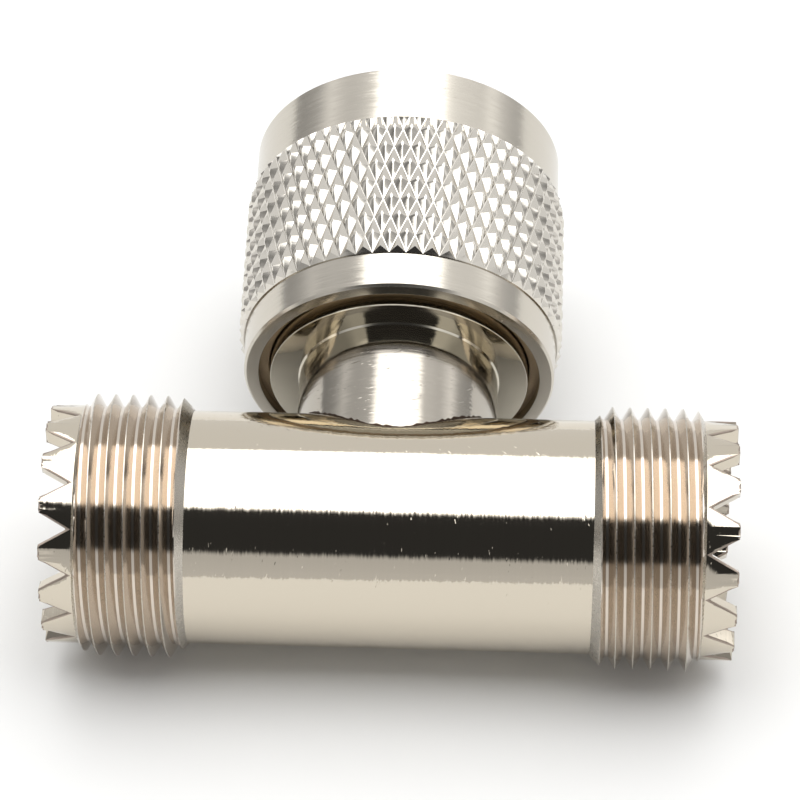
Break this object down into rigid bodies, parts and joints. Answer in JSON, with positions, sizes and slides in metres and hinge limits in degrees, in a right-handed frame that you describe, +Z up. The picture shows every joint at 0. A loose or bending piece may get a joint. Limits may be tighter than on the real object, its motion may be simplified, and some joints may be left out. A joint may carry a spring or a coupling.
{
  "type": "coaxial tee adapter",
  "caption": "Tee-shaped coaxial adapter with two threaded, crown-notched sockets on its run and a pin plug with a captive knurled coupling nut on its branch.",
  "frame": {"origin": "centre of the plug's mating face, where the pin leaves its insulator", "axes": "+X along the run towards the right socket, +Y along the branch and out of the plug, +Z up"},
  "size_m": [0.0412, 0.0394, 0.0202],
  "materials": {
    "nickel_plate": "bright nickel plate over turned brass",
    "spring_wire": "plain spring bronze",
    "contact_brass": "machined brass",
    "insulation": "turned fluoropolymer"
  },
  "bodies": {
    "tee": {"run_body": "nickel_plate", "plug_shell": "nickel_plate", "run_contact": "contact_brass", "plug_pin": "nickel_plate", "left_insulator": "insulation", "right_insulator": "insulation", "plug_insulator": "insulation"},
    "nut": {"coupling_nut": "nickel_plate", "nut_snap_ring": "spring_wire"}
  },
  "joints": [
    {"name": "nut_spin", "type": "hinge", "parent": "tee", "child": "nut", "pos_m": [0, 0, 0], "axis": [0, 1, 0], "continuous": true}
  ]
}
